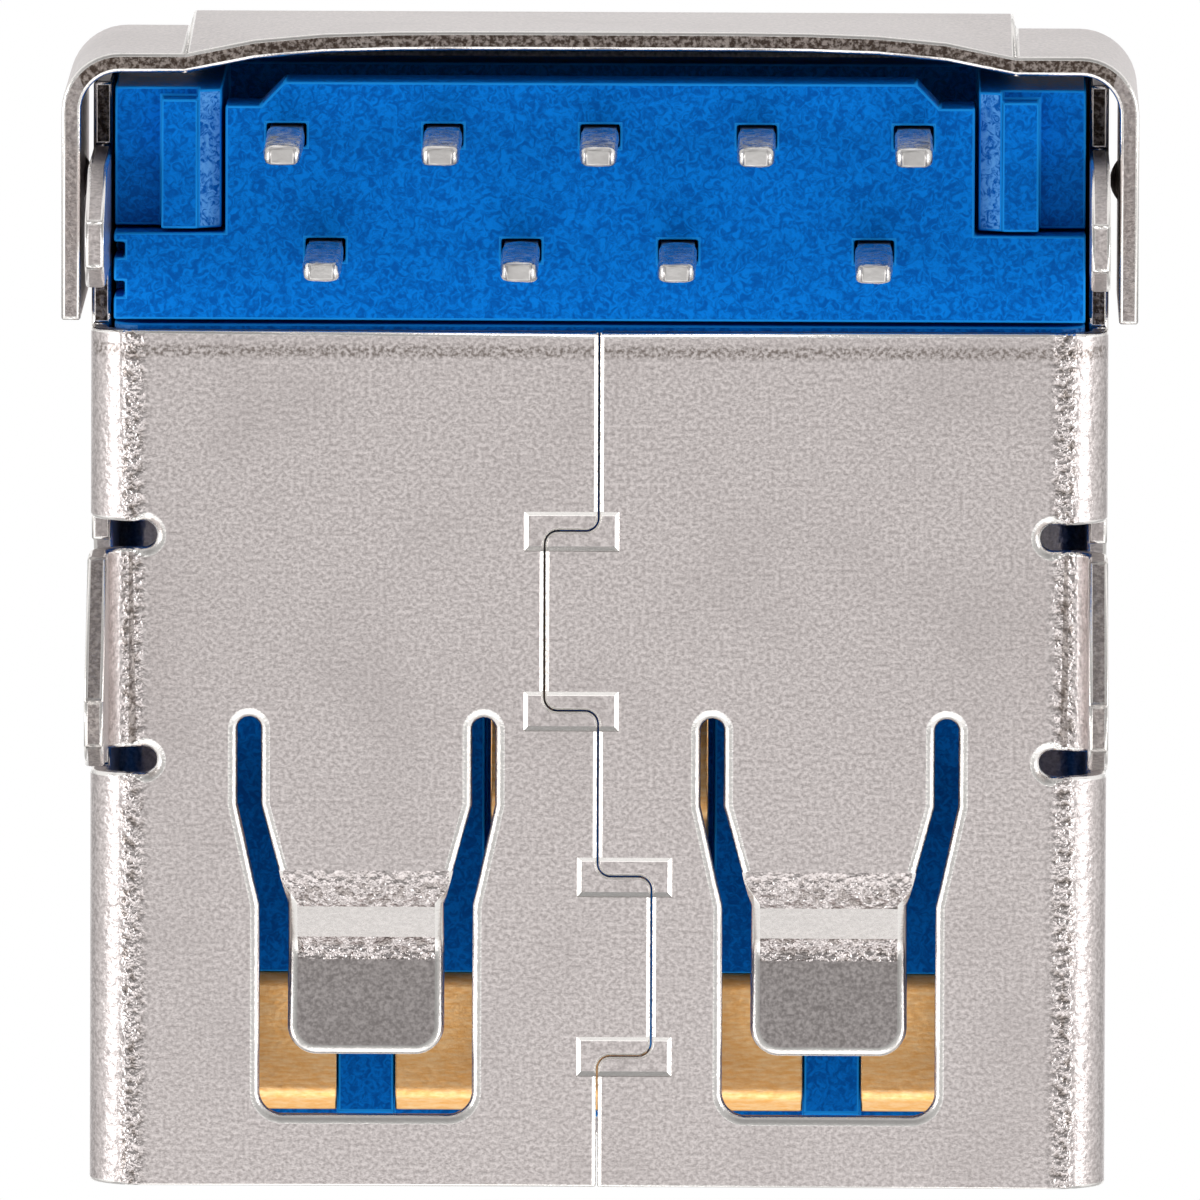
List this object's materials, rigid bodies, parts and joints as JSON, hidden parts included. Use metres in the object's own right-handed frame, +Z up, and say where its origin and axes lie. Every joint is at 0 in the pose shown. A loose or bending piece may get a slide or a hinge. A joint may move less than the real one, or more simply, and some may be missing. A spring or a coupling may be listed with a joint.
{
  "type": "usb-a socket",
  "caption": "Right-angle through-hole USB-A socket: folded metal shell with a locked seam and spring fingers around a blue insulator with spring and high-speed contacts.",
  "frame": {"origin": "on the board, under the shell's floor, halfway along the line between the two front legs", "axes": "+Y from the mouth to the back, +Z up from the board, +X across towards the ground contact"},
  "size_m": [0.0138, 0.0148, 0.0085],
  "materials": {
    "shell_metal": "satin nickel plating",
    "insulator_plastic": "moulded, slight sheen",
    "plate_plastic": "moulded, slight sheen",
    "contact_metal": "gold plated, with tinned tails"
  },
  "bodies": {
    "root": {"shell": "shell_metal", "insulator": "insulator_plastic", "tail_plate": "plate_plastic", "power_contact": "contact_metal", "data_minus_contact": "contact_metal", "data_plus_contact": "contact_metal", "ground_contact": "contact_metal", "receive_minus_contact": "contact_metal", "receive_plus_contact": "contact_metal", "drain_contact": "contact_metal", "send_minus_contact": "contact_metal", "send_plus_contact": "contact_metal"}
  },
  "joints": []
}
